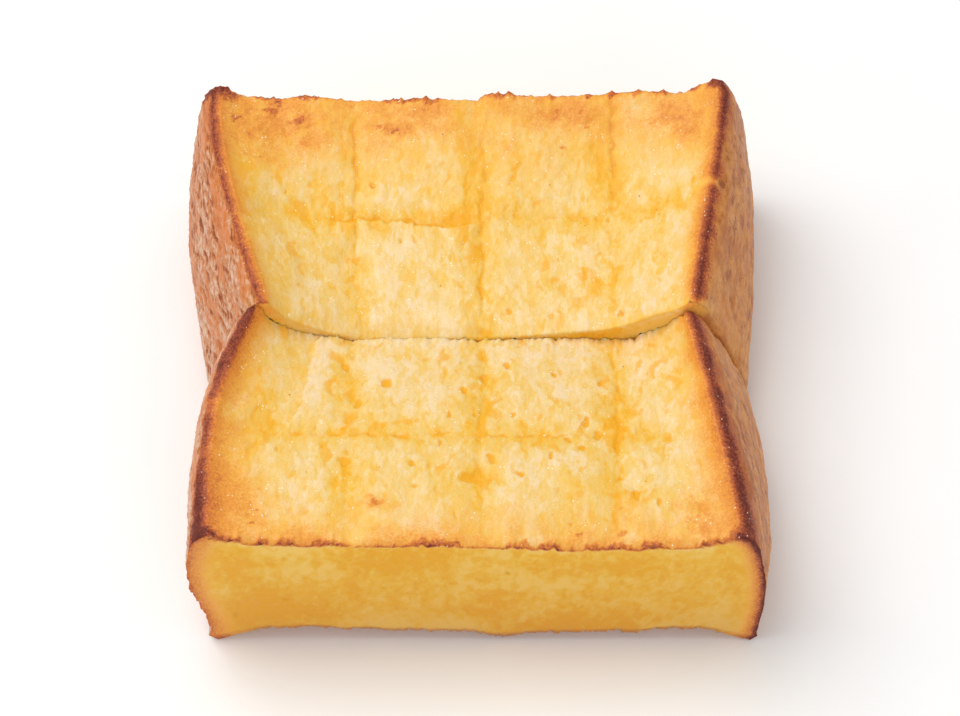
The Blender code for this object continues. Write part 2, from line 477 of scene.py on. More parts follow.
def shoulder(name, points, crumbly):
    """(slope beyond the last cell, edge of that cell) on the left of the front half.

    The last cell puffed up, so its left edge is a pale, crumbly line. Beyond it a smoother strip
    of crumb slopes down to the crust, and its colour is darkened there as painted shade.
    """
    if name != "front":
        return np.zeros(len(points)), np.zeros(len(points))
    back = -points[:, 1]
    edge = np.interp(back, (0.0, 10.0, 24.0, 31.0, 40.0), (-35.8, -37.0, -39.5, -43.5, -48.0))
    inside = points[:, 0] - edge + 0.9 * crumbly
    fade = step(-back, -36.0, -22.0)
    shaded_slope = (1 - step(inside, -0.5, 0.7)) * np.exp(-np.clip(-inside, 0, None) / 9.0)
    lip = step(inside, -0.5, 0.7) * np.exp(-np.clip(inside, 0, None) / 3.0)
    return shaded_slope * fade, lip * fade


# %% [markdown]
# ## Relief of the crumb
#
# The top is torn crumb: short ridges and troughs that run from front to back, a few pores and
# soft puffs. Custard filled the troughs. The faces that a knife made are far smoother. The
# relief is a distance along the surface's normal, which keeps pores square to the surface
# everywhere, even on the rims.

# %% Single pores on the top: (x, y, half width, half length) in millimetres
PORES = {
    "rear": [
        (-23.5, 39.5, 0.8, 1.3),
        (27.0, 54.4, 1.0, 0.6),
        (33.1, 2.8, 0.8, 0.8),
        (20.4, 48.4, 0.5, 0.6),
    ],
    "front": [
        (-19.5, -15.6, 1.5, 1.8), (-2.8, -17.5, 1.3, 1.2), (-0.7, -42.9, 2.4, 1.5),
        (-28.6, -38.5, 1.6, 1.3), (-20.6, -50.0, 1.0, 0.8), (-49.4, -54.0, 0.8, 0.8),
        (35.6, -47.4, 0.9, 2.0), (40.7, -49.4, 0.8, 1.5), (50.0, -52.0, 1.1, 1.2),
        (32.8, -43.0, 0.8, 0.9), (52.0, -37.4, 1.2, 1.8), (31.7, -32.2, 1.3, 2.6),
        (27.3, -30.7, 1.2, 1.5), (23.9, -34.8, 0.9, 1.2), (25.2, -27.1, 1.0, 1.6),
        (21.0, -32.0, 0.8, 0.8), (28.0, -15.4, 0.8, 1.2), (18.2, -12.3, 1.0, 0.9),
        (9.0, -25.0, 1.0, 1.2), (7.5, -9.8, 1.2, 1.4), (2.3, -12.9, 1.0, 1.6),
        (-28.9, -9.8, 1.3, 1.2), (-26.2, -21.6, 0.9, 1.8), (-13.5, -39.8, 1.3, 1.2),
        (3.8, -37.6, 1.0, 2.2), (10.5, -41.8, 1.8, 0.8), (21.0, -55.5, 0.6, 0.6),
        (-7.6, -33.0, 0.5, 1.8),
    ],
}


# Soft yellow patches, where custard pooled, listed as the pores are.
POOLS = {
    "rear": [(25.8, 14.9, 2.6, 1.6), (24.0, 7.8, 2.8, 2.2), (25.7, 24.0, 2, 1.6), (29, 20, 1.2, 1)],
    "front": [(31.0, -31.0, 3.5, 5.0), (-28.0, -27.0, 2.0, 5.0), (33.0, -50.0, 2.5, 6.0)],
}


# Pores on the near face: (place across, height, half width, half height).
FACE_PORES = [(-42.1, 18.5, 0.8, 0.7), (7.3, 30.5, 0.6, 0.5), (29.7, 29.5, 1.4, 0.3)]
FACE_PORES += [(-54.1, 11.0, 0.5, 1.4), (-20.0, 24.0, 0.7, 0.4)]


# %% Relief of the top
def top_relief(name, spots):
    """Height of the torn crumb on the top, in millimetres, and the masks that colour it."""
    points = spots.points
    valley, strip, crack, puff = scored(name, spots)
    blotch = layered(points, 13.0, 37, 2)
    bent = warped(points, 4.0, 1.4, 84)
    smears = layered(bent, (2.6, 4.6, 3.6), 36)
    troughs = step(smears + 0.35 * blotch + 0.4 * strip, 0.3, 0.8)
    leaf = flakes(bent, (2.2, 4.4, 3.0), 32)
    chip = flakes(warped(points, 2.0, 0.5, 88), (0.9, 1.9, 1.4), 35)
    fibres = layered(bent, (0.8, 3.0, 1.6), 33)
    crumbly = layered(points, 1.5, 40)
    single = near_places(points, PORES[name], 0.8) + 0.2 * crumbly
    loose = pores(bent, (3.0, 5.4, 3.6), 31, 0.06, 0.36) + 0.3 * crumbly
    pits = np.maximum(step(single, 0.35, 0.75), step(loose, 0.25, 0.7))
    pools = step(near_places(points, POOLS[name], 2.0) + 0.3 * smears, 0.3, 0.8)
    raised, dip = ledge(name, points)
    shaded_slope, lip = shoulder(name, points, crumbly)
    height = 0.6 * puff - 0.4 * valley + 0.4 * layered(points, 13.0, 34) + 1.1 * raised
    height = height + 0.12 * layered(points, 4.2, 38) - 0.1 * troughs - 0.4 * pits - 0.4 * dip
    height = height - 0.3 * crack - 0.7 * shaded_slope + 0.25 * lip * (1 + 0.6 * crumbly)
    height += 0.09 * leaf + 0.06 * chip + 0.02 * fibres
    soak = 0.55 * troughs + 0.3 * valley + 0.8 * pits + 0.9 * dip + 0.7 * crack + 0.5 * pools
    tone = (0.43 if name == "rear" else 0.51) - 0.2 * blotch - 0.1 * smears + 0.2 * leaf
    tone = tone + 0.13 * chip + 0.08 * fibres - 0.32 * strip + 0.25 * raised + 0.1 * puff
    # Painted shade on the sloping strip beyond the front half's last cell, and a paler crumbly lip.
    tone = tone - 0.22 * shaded_slope + 0.22 * lip
    return height, {"soak": np.clip(soak, 0, 1), "tone": tone, "crack": crack}


# %% Relief of the crusts
def crust_relief(spots):
    """Height of the crust: long wrinkles on the left one, fine pits on the right one.

    Also a colour share, which holds wrinkles and mottling and some painted light as well.
    """
    points = spots.points
    slanted = spots.down - 0.16 * points[:, 1]
    sheet = np.stack([slanted, points[:, 1], np.where(LEFT, 0.0, 50.0)], axis=1)
    sheet = warped(sheet, 5.0, 1.2, 87)
    ridges = 1 - 2.2 * np.abs(layered(sheet, (2.2, 7.0, 9.0), 41, 2))
    fine = np.where(LEFT, layered(sheet, (0.9, 2.6, 9.0), 42), layered(sheet, (1.3, 1.6, 9.0), 46))
    pits = pores(sheet, (2.8, 3.4, 9.0), 43, 0.3)
    left = 0.28 * ridges + 0.2 * fine
    right = 0.1 * ridges + 0.1 * fine - 0.25 * pits
    wrinkle_and_painted_light = np.where(LEFT, 0.9 * ridges + 0.6 * fine, 0.3 * ridges + 0.6 * fine - pits)
    wrinkle_and_painted_light = wrinkle_and_painted_light - 0.35 - 0.3 * step(points[:, 1], 15.0, 45.0) * LEFT
    wrinkle_and_painted_light = wrinkle_and_painted_light + 0.3 * step(-points[:, 1], 10.0, 40.0) * LEFT
    under_rim = np.exp(-spots.down / 7.0) * (points[:, 1] < 0)
    # Paler towards the cut: painted light on the crust beside the shaded gap. Darker just under the
    # front half's rim, and mottled.
    mottle_and_gap_light = 0.9 * layered(points, 3.5, 45) - 0.9 * under_rim + 0.9 * np.exp(-spots.from_cut / 22.0)
    wrinkle_and_painted_light = wrinkle_and_painted_light + np.where(LEFT, 0.0, mottle_and_gap_light)
    return np.where(LEFT, left, right) + 0.4 * layered(points, 14.0, 44), wrinkle_and_painted_light


# %% Relief of the cut faces
def knife_relief(spots):
    """Height of a cut face: nearly flat, with a faint grain from crust to crust."""
    points = spots.points
    grain = layered(points, (1.7, 1.7, 3.0), 51)
    single = near_places(points[:, [0, 2, 1]], FACE_PORES, 0.3) * (points[:, 1] < -50)
    holes = np.maximum(pores(points, (5.0, 5.0, 3.6), 52, 0.05, 0.26), step(single, 0.3, 0.75))
    return 0.08 * grain + 0.15 * layered(points, 9.0, 53) - 0.5 * holes, grain, holes


# %% [markdown]
# ## Ragged edges
#
# A knife drags crumb out where it leaves the bread, and the oven dries those crumbs first. So
# the outer ends carry a jagged line of small peaks, which gives the slab its crisp outline.
# The edge of the front half at the cut is torn too, in wider, softer bites.

# %% Where the torn edges burnt: from and to, in millimetres across the slab
BURNT_RUNS = {
    "rear": [
        (-61.0, -56.5), (-51.5, -48.0), (-47.5, -45.3), (-41.4, -36.6), (-21.0, -8.0),
        (3.0, 9.8), (17.3, 19.0), (25.8, 27.4), (31.0, 33.0), (36.7, 38.9), (42.2, 45.2),
        (47.4, 48.6), (50.5, 53.0),
    ],
    "front": [
        (-60.0, -50.5), (-47.6, -45.0), (-43.5, -39.0), (-35.7, -28.5), (-14.0, -3.0),
        (7.0, 12.0), (14.0, 19.0), (24.0, 35.0), (36.5, 41.5), (50.0, 62.0),
    ],
}


def in_runs(x, runs):
    """1 inside the listed runs and 0 outside them, with soft ends."""
    return np.max([step(x, a - 0.6, a + 0.6) * step(-x, -b - 0.6, 0.6 - b) for a, b in runs], 0)


# How much lower or higher the far edge and the near heel stand: (place across, height).
FAR_EDGE = ((-58, 0), (-52, -1.6), (-46, -1.4), (-42, 0), (-35, 0.3), (-28, -0.8), (-20, -1.4))
FAR_EDGE += ((-4, -1.2), (0.5, -1.8), (2.5, 0.6), (8, 0.2), (16, -0.8), (30, -0.4), (35, 0.7))
FAR_EDGE += ((39, 0.2), (46, -1.4), (50, -2.2), (54, 0))
NEAR_HEEL = ((-56, 0), (-51, 0.8), (-47, 2.4), (-42, 2), (-35, 2.8), (-31, 1), (-24, 2), (-20, 0.6))
NEAR_HEEL += ((0, 0.4), (3.5, -1.8), (9, -1.6), (12, -0.4), (40, 0.5), (45, 2), (51, 2), (57, 0))


# %% Move the edges
def torn_noise(points):
    """Noise for torn edges, the same from top to bottom of a face, and crumbs that stick to it."""
    flatly = points * (1, 0, 0)
    return SimpleNamespace(
        fine=layered(flatly, 1.5, 61),
        bites=layered(flatly, 5.5, 62),
        jag=np.abs(layered(flatly, 2.6, 63)),
        crumbs=pores(points, (1.7, 1.7, 1.7), 64, 0.8, 0.55),
        lumps=pores(points, (3.4, 3.4, 3.4), 65, 0.6, 0.6),
    )


def rear_edges(spots, torn, wide):
    """(push, rise) that only the rear half has: its far edge, its ears and the closing gap."""
    far = profile(spots.points[:, 0], FAR_EDGE) * np.exp(-spots.from_end / 5.0) * UP**4
    ear = np.exp(-spots.from_end / 1.3 - (spots.past_rim / 2.2) ** 2) * (0.7 + 0.6 * torn.fine)
    push = -0.6 * wide * np.exp(-spots.down / 12.0 - spots.from_cut / 2.0)
    return push, far + ear


def front_edges(spots, torn, wide):
    """(push, rise) that only the front half has: the torn closing gap, and its sagging end."""
    x = spots.points[:, 0]
    middle = step(44 - np.abs(x), 0.0, 10.0)
    closing = np.exp(-spots.down / 6.0) * np.exp(-spots.from_cut / 3.0)
    notches = 0.9 * step(-torn.bites - 0.5 * torn.fine, 0.35, 0.9) * np.exp(-spots.down / 1.5)
    tip = np.exp(-spots.from_cut / 3.0 - (spots.past_rim / 4.0) ** 2) * LEFT
    sag = np.exp(-(((x - 25) / 20) ** 2)) * np.exp(-spots.from_end / 6.0)
    heel = profile(x, NEAR_HEEL) * np.exp(-spots.from_end / 10.0)
    rise = 0.7 * middle * closing + 1.2 * tip - 1.5 * sag * UP**3 + heel * (1 - UP) ** 3
    return (0.9 - notches) * wide * closing, rise


def ragged_edges(name, spots):
    """How far points move in Y and Z so that the edges look torn."""
    torn = torn_noise(spots.points)
    burnt = in_runs(spots.points[:, 0], BURNT_RUNS[name])
    near_top = np.exp(-spots.down / 1.3) * np.exp(-spots.from_end / 1.2)
    peaks = (0.25 + 0.75 * burnt) * np.clip(torn.fine + 0.1, 0, 1) * 1.7
    peaks = peaks + 0.5 * burnt + 0.5 * torn.bites + 0.6 * torn.crumbs
    by_cut = np.exp(-spots.down / 1.5) * np.exp(-spots.from_cut / 1.6)
    ripped = 0.9 * torn.bites + 0.7 * torn.fine + 1.2 * torn.crumbs + 0.9 * torn.lumps
    low_end = np.exp(-UP * HEIGHT / 1.4) * np.exp(-spots.from_end / 1.6)
    low_end = low_end * step(spots.inward, 3.0, 9.0)
    rise = peaks * near_top + by_cut * ripped * (0.3 if name == "rear" else 1.4)
    rise = rise + low_end * (0.9 * torn.bites + 0.7 * torn.fine)
    push = -0.5 * HALVES[name]["direction"] * (near_top + low_end) * torn.jag
    wide = step(58 - np.abs(spots.points[:, 0]), 0.0, 9.0)
    own_push, own_rise = {"rear": rear_edges, "front": front_edges}[name](spots, torn, wide)
    return push + own_push, rise + own_rise


# %% Lean of the crusts
# How far each crust leans in past the solid model's: (height above the floor, lean), in
# millimetres, at the outer end.
END_LEAN = {
    ("rear", "right"): ((0, 0), (20, 0.1), (33, 0.7), (43, 1.5), (48, 0.6)),
    ("front", "left"): ((0, -1.2), (2, -0.6), (5, 1.2), (12, 1.9), (18, 1.5), (25, 0.7), (32, 0)),
    ("front", "right"): ((0, -1.2), (3, 0), (10, 0.4), (20, 0.8), (48, 0.8)),
}


def lean(name, spots):
    """How far points move to the right so that the crusts lean in a little."""
    outer = np.exp(-spots.from_end / 12.0)
    leans = [END_LEAN.get((name, side), ((0, 0), (1, 0))) for side in ("left", "right")]
    ends = [profile(UP * HEIGHT, table) * outer for table in leans]
    if name == "rear":
        ends[0] += 0.7 * np.exp(-spots.from_cut / 12.0) * (1 - UP**4)
        ends[0] -= 1.1 * (1 - np.exp(-spots.from_end / 8.0)) * UP**5
        ends[1] -= 2.0 * (1 - outer**2) * np.exp(-spots.from_end / 22.0) * UP**6
    else:
        ends[0] += 0.5 * (1 - outer) * (1 - UP**4)
        ends[0] -= 1.3 * np.exp(-spots.from_cut / 18.0) * UP**4
        ends[1] = ends[1] * np.exp(spots.from_end / 30.0)
    return np.where(LEFT, ends[0], -ends[1]) * np.abs(ACROSS) ** 8


# %% [markdown]
# ## Browning
#
# Heat browns what stands proud and thin: the rim of each crust, which is nearly burnt, and
# then the torn ends. From the rim an orange glow fades into yellow within a few millimetres.
# All of it is one number, the heat, from 0 for pale crumb to 1 for burnt. Painting by formula
# keeps the browning on the very bumps that would catch the heat.

# %% Heat over the rim, and in from the outer ends
RIM_HEAT = ((-8, 0), (-4, 0.13), (-2, 0.22), (-0.8, 0.32), (0.0, 0.42), (0.4, 0.55), (0.8, 0.88))
RIM_HEAT += ((2.0, 0.95), (2.4, 0.7), (3.2, 0.54), (4.4, 0.45), (6.0, 0.38), (7.0, 0.0))
CRUST_STARTS = (1.7, 2.2)
# How dark the left rim is, from the cut to the outer end.
LEFT_STRENGTH = {
    "rear": ((0, 0.8), (0.2, 0.76), (0.6, 0.78), (0.8, 0.9), (1, 0.9)),
    "front": ((0, 0.92), (0.25, 0.95), (0.35, 0.8), (0.6, 0.82), (0.75, 0.95), (0.87, 1.2), (1, 1.25)),
}
# Where the dark line of the right rim has a gap, by its distance from the cut.
BARE_AT = 33.0
END_HEAT = {
    "rear": ((0, 0.36), (0.8, 0.28), (3, 0.24), (8, 0.19), (18, 0.12), (32, 0)),
    "front": ((0, 0.36), (0.6, 0.27), (3, 0.21), (7, 0.15), (12, 0.09), (22, 0)),
}
CORNER_REACH = {"rear": 3.2, "front": 3.6}
# Soft toasted patches, and small dark flecks: (x, y, half width, half length) in millimetres.
TOASTED = {
    "rear": [
        (-50.0, 52.0, 9.0, 9.0), (-53.0, 50.0, 5.0, 9.0), (-41.0, 54.0, 7.0, 4.5),
        (-19.0, 54.0, 6.0, 4.0), (-12.0, 58.5, 6.0, 1.6), (20.0, 56.0, 7.0, 2.5),
        (48.0, 52.0, 5.0, 6.0),
    ],
    "front": [(-53.0, -47.0, 8.0, 10.0), (-22.0, -50.0, 4.0, 2.0), (50.0, -52.0, 6.0, 6.0)],
}
FLECKS = {
    "rear": [
        (-23.9, 39.2, 0.8, 1.0), (-22.0, 53.9, 1.3, 0.7), (-18.4, 52.4, 1.2, 0.6),
        (-41.0, 54.4, 1.7, 1.4), (-55.4, 53.5, 1.6, 1.6), (-47.5, 57.5, 2.2, 1.0),
        (-45.5, 59.0, 1.6, 1.8), (24.8, 56.0, 0.6, 0.5), (26.8, 53.4, 0.8, 0.4),
        (20.4, 48.4, 0.4, 0.4), (33.0, 3.0, 0.9, 0.9), (46.3, 2.4, 0.6, 0.6),
        (48.2, 0.8, 0.6, 0.6), (-46.3, 1.2, 0.8, 0.5),
    ],
    "front": [
        (-48.9, -56.5, 0.9, 0.8), (-47.6, -52.5, 0.5, 0.5), (-21.9, -49.9, 1.1, 0.7),
        (-55.5, -45.5, 0.9, 1.6), (22.5, -58.0, 0.9, 0.7), (32.7, -57.2, 1.2, 0.7),
        (32.8, -50.4, 0.5, 0.4), (37.6, -60.6, 0.9, 0.5), (49.8, -54.0, 0.7, 0.6),
    ],
}


# %% How far past its rim a crust browns
def rim_reach(name, spots):
    """The distance past the rim, stretched so that the glow and the dark line vary in width."""
    points, wander = spots.points, spots.wander
    near_cut = np.exp(-spots.from_cut / 15.0)
    if name == "front":
        glow = np.where(LEFT, 2.8 * (1 - 0.55 * near_cut), 1.7) * (0.65 + 0.6 * ALONG)
        left_thick = 1.5 + 0.7 * near_cut**1.6 + 0.6 * step(ALONG, 0.78, 0.92)
        thick = np.where(LEFT, left_thick, 1.6 - 0.3 * near_cut)
        past = spots.past_rim + 0.25 * wander + np.where(LEFT, 0.2 + 2.2 * near_cut, -0.1)
    else:
        glow = np.where(LEFT, 1.3, 1.1) * (0.6 + 0.8 * ALONG)
        thick = np.where(LEFT, 1.0, 1.1)
        past = spots.past_rim + 0.15 * wander - 0.2 * ALONG * ~LEFT
    thick = thick + 0.25 * bumps(points, (9.0, 7.0, 9.0), 72) + 0.2 * bumps(points, 3.2, 77)
    reach = np.where(past < 0, past / glow / (1 + 0.35 * wander), past / thick)
    return reach + 1.8 * np.clip(reach - 2.3, 0, None) * LEFT * (name == "front")


# %% Heat at every point
def rim_heat(name, spots):
    """Heat over a rim, weaker in places, with a gap in the dark line of the rear's right rim."""
    points = spots.points
    strength = np.where(LEFT, profile(ALONG, LEFT_STRENGTH[name]), 1.04)
    strength = strength - 0.16 * step(bumps(points, (40.0, 7.0, 40.0), 71), 0.0, 0.5)
    bare = np.exp(-(((points[:, 1] - BARE_AT) / 1.4) ** 2)) + step(-points[:, 1], -3.5, -1.0)
    rear_right = (name == "rear") & ~LEFT
    strength = strength * np.where(rear_right, 1 - 0.6 * np.clip(bare, 0, 1), 1.0)
    return profile(spots.reach, RIM_HEAT) * strength * np.where(ON_SIDE | ON_TOP, 1.0, 0.0)


def top_heat(name, spots, burnt, crisp):
    """Heat on the top: fading in from the outer end, with burnt tips, patches and flecks."""
    points, grain = spots.points, spots.grain
    end = profile(spots.from_end, END_HEAT[name]) * (0.8 + 0.35 * spots.wander)
    lumps = pores(points, (1.3, 1.3, 1.3), 74, 0.8, 0.6)
    reach = burnt * (1.1 + 1.1 * bumps(points * (1, 0, 0), 3.0, 75)) + 0.6 * grain
    tips = step(reach - spots.from_end, -0.3, 0.3) * (0.22 + 0.3 * lumps)
    patches = near_places(points, TOASTED[name], 2.0)
    mottled = 0.15 + 0.1 * layered(points, 3.6, 73) + 0.06 * crisp
    flecks = step(near_places(points, FLECKS[name], 1.2) + 0.45 * crisp, 0.45, 0.8)
    top = end + tips + patches * mottled + 0.22 * flecks + 0.08 * spots.crack
    return np.where(ON_TOP, top, 0.0)


def corner_heat(name, spots, crisp):
    """Heat at the four outer corners, which stand proudest, and on the rear's left ear."""
    corner = (spots.from_end / CORNER_REACH[name]) ** 2 + (spots.past_rim / 3.0) ** 2
    corner = np.where(ON_SIDE | ON_TOP, np.exp(-corner), 0.0)
    heat = 0.95 * corner * (1 + 0.3 * spots.grain)
    ear = np.exp(-((spots.from_end / 4.0) ** 2) - (spots.inward / 5.0) ** 2) * ~UNDER
    ear = ear * (0.9 + 0.4 * crisp) * LEFT * (UP > 0.9) * (name == "rear")
    return np.maximum(heat, ear)


def face_heat(spots):
    """Heat along the sides and heels of the cut faces, and along the crusts' outer edges."""
    grain, inward = spots.grain, spots.inward
    fade = inward / np.where(LEFT, 5.0, 3.4)
    side_line = np.where(LEFT, 0.4, 0.56) * np.exp(-(fade**1.7))
    edge_line = np.exp(-((inward / 0.9) ** 2)) * (0.8 + 0.5 * grain) * AT_END
    side_line = side_line + edge_line * np.where(LEFT, 0.12, 0.6)
    side_line = side_line * np.where(AT_END, 1.0, 0.55)
    heel = np.where(AT_END, 0.8 * np.exp(-UP * HEIGHT / 1.5) * np.exp(-inward / 4.0), 0.0)
    outline = np.exp(-((spots.from_end / 1.1) ** 2)) * (0.5 + 0.3 * grain) * ~LEFT
    return np.where(ON_KNIFE, np.maximum(side_line, heel), 0.0) + np.where(ON_SIDE, outline, 0.0)


def browning(name, spots):
    """The greatest of all heats at every point, made a little uneven."""
    burnt = in_runs(spots.points[:, 0], BURNT_RUNS[name])
    crisp = layered(spots.points, 0.9, 76)
    tip_down = np.exp(-spots.down / 0.35) * np.exp(-spots.from_end / 0.2)
    heats = [
        rim_heat(name, spots),
        top_heat(name, spots, burnt, crisp),
        corner_heat(name, spots, crisp),
        tip_down * (0.16 + 0.5 * burnt) * (1 + 0.5 * spots.grain),
        face_heat(spots),
    ]
    return np.max(heats, axis=0) * (1 + 0.15 * spots.grain)


# %% [markdown]
# ## Bake the two halves
#
# Each half is its base shape, pushed along its normals by the relief of the face it is on, and
# then torn along its edges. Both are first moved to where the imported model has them.

# %% Base places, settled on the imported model
starts = {name: half_place(half, ACROSS, ALONG, UP) for name, half in HALVES.items()}
together = np.concatenate(list(starts.values()))
slide = (low + high) / 2 - (together.min(axis=0) + together.max(axis=0)) / 2
slide[2] = low[2] - together[:, 2].min()
starts = {name: points + slide for name, points in starts.items()}
print("moved to the packed model by", np.round(slide, 2), "mm")


# %% Blend the reliefs and the masks
def relief(spots, crumb, skin, knife):
    """How far each point moves along its normal: the relief of its own face, blended at edges."""
    on_top = np.where(ON_TOP, 1.0, np.exp(-spots.down / 0.7))
    on_top = np.where(UNDER, 0.0, on_top)
    side_share = np.where(ON_SIDE, 1.0, np.exp(-spots.inward / 0.7))
    side_share = side_share * np.where(ON_TOP, step(-spots.past_rim, 3.0, 0.0), 1.0)
    skin = skin - 0.9 * np.exp(-spots.from_cut / 1.1)
    soft = on_top * step(spots.inward, 0.0, 5.0)
    height = soft * crumb * step(spots.from_end, -1.0, 2.0)
    height = height + side_share * (1 - soft) * skin
    height = height + np.where(ON_KNIFE, knife * (1 - on_top), 0.0)
    granular = np.exp(-(((spots.past_rim - 0.5) / 1.5) ** 2))
    return height + 0.3 * granular * spots.grain


def crust_share(name, spots):
    """1 on crust and 0 on crumb: the crust starts past the rim and thins out at the rear's cut."""
    by_cut = np.exp(-spots.from_cut / np.where(LEFT, 2.0, 4.5))
    by_cut = 0.45 * by_cut * np.exp(-((spots.down / 7.0) ** 2)) * (name == "rear")
    crusted = step(spots.reach, *CRUST_STARTS) * (1 - by_cut)
    by_side = step(5.0 - spots.inward, 0.0, 2.5) * AT_CUT * step(spots.down, 1.5, 5.0)
    return np.where(ON_SIDE, crusted, by_side)


def knife_tone(spots, grain):
    """How pale a cut face is: slow drifts, flakes of two sizes, and a paler foot.

    The faces at the cut look into the narrow, shaded gap, so they are painted paler, most of all in the
    middle: painted light.
    """
    points = spots.points
    tone = 0.4 + 0.3 * grain + 1.0 * layered(points, (30.0, 30.0, 20.0), 54)
    tone += 0.5 * flakes(warped(points, 3.0, 1.0, 89), (2.0, 3.0, 2.9), 55)
    tone += 0.3 * flakes(warped(points, 2.0, 0.5, 90), (0.9, 2.0, 1.3), 56)
    tone = tone + 0.2 * np.exp(-UP * HEIGHT / 9.0) * AT_END
    # Painted light: the faces at the cut are made paler, more on the left and most in the middle,
    # against the gap's shade.
    return tone + (0.25 + 0.2 * LEFT + 0.4 * in_middle(points)) * AT_CUT


def in_middle(points):
    """1 in the middle of the slab, 0 past 30 mm from it."""
    return step(30 - np.abs(points[:, 0]), 0.0, 16.0)


# %% Make each half
# How near each half may come to the middle of the cut, in millimetres.
CLEARANCE = 0.02


def bake_half(name):
    """(points in millimetres, faces, masks) of one half."""
    start = starts[name]
    direction = HALVES[name]["direction"]
    spots = survey(HALVES[name], start)
    spots.reach = rim_reach(name, spots)
    faces = [face[::-1] for face in skin_faces] if direction < 0 else skin_faces
    crumb, masks = top_relief(name, spots)
    spots.crack = masks.pop("crack")
    skin, wrinkle_and_painted_light = crust_relief(spots)
    knife, grain, holes = knife_relief(spots)
    points = start + face_normals(start, faces) * relief(spots, crumb, skin, knife)[:, None]
    push, rise = ragged_edges(name, spots)
    points = points + np.stack([lean(name, spots), push, rise], axis=1)
    points[:, 1] = direction * np.maximum(direction * points[:, 1], CLEARANCE)
    points[:, 2] = np.maximum(points[:, 2], 0.0)
    # The rear's top is made darker and more orange along the cut, most in the middle: partly the
    # crumb's own colour and partly painted shade at the mouth of the gap.
    edge_offset = (0.3 + 0.1 * in_middle(start)) * np.exp(-spots.from_cut / 1.5) * (name == "rear")
    crumb_tone = masks["tone"] + 0.17 * np.exp(-spots.from_cut / 18.0) - edge_offset
    cut_open = np.where(ON_KNIFE, step(spots.down, 0.2, 0.9), 0.0)
    masks["tone"] = np.where(cut_open > 0, knife_tone(spots, grain), crumb_tone)
    masks["soak"] = np.where(ON_TOP, masks["soak"], np.where(cut_open > 0, holes, 0.0))
    masks["knife"] = cut_open * np.where(AT_END, 1.0, 0.9)
    masks["burning"] = browning(name, spots)
    masks["crust"] = crust_share(name, spots)
    masks["pinker"] = np.where(LEFT, 1.0, 0.0)
    masks["wrinkle_and_painted_light"] = 0.5 + 0.5 * wrinkle_and_painted_light
    # Brown on the underside; on the outer cut face, darker towards the bottom as painted shade.
    masks["underside"] = np.where(UNDER, 1.0, 0.3 * (1 - UP) * AT_END)
    return points, faces, masks


baked = {name: bake_half(name) for name in HALVES}


# %% Put them into meshes
def piece_from(name, points, faces, masks):
    """A mesh object whose masks are number attributes on its points."""
    mesh = bpy.data.meshes.new(name)
    mesh.from_pydata(points.tolist(), [], faces)
    for key, values in masks.items():
        attribute = mesh.attributes.new(key, "FLOAT", "POINT")
        attribute.data.foreach_set("value", np.asarray(values, np.float32))
    mesh.shade_smooth()
    piece = bpy.data.objects.new(name, mesh)
    bpy.context.scene.collection.objects.link(piece)
    return piece


halves = {}
for name, (points, faces, masks) in baked.items():
    halves[name] = piece_from(f"{name}_half_bread", points * MM, faces, masks)
    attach(halves[name], "root")
    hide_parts(f"toast_{name}_half")
    print(name, "half:", len(points), "points")

# %% [markdown]
# ## A short way to write materials
#
# A material is a graph of nodes. These helpers add one node each and return its output, so a
# finish reads as a few lines of ingredients instead of a page of links. All patterns use Object
# coordinates, in metres, so they keep their real size and stay put when the bread moves.


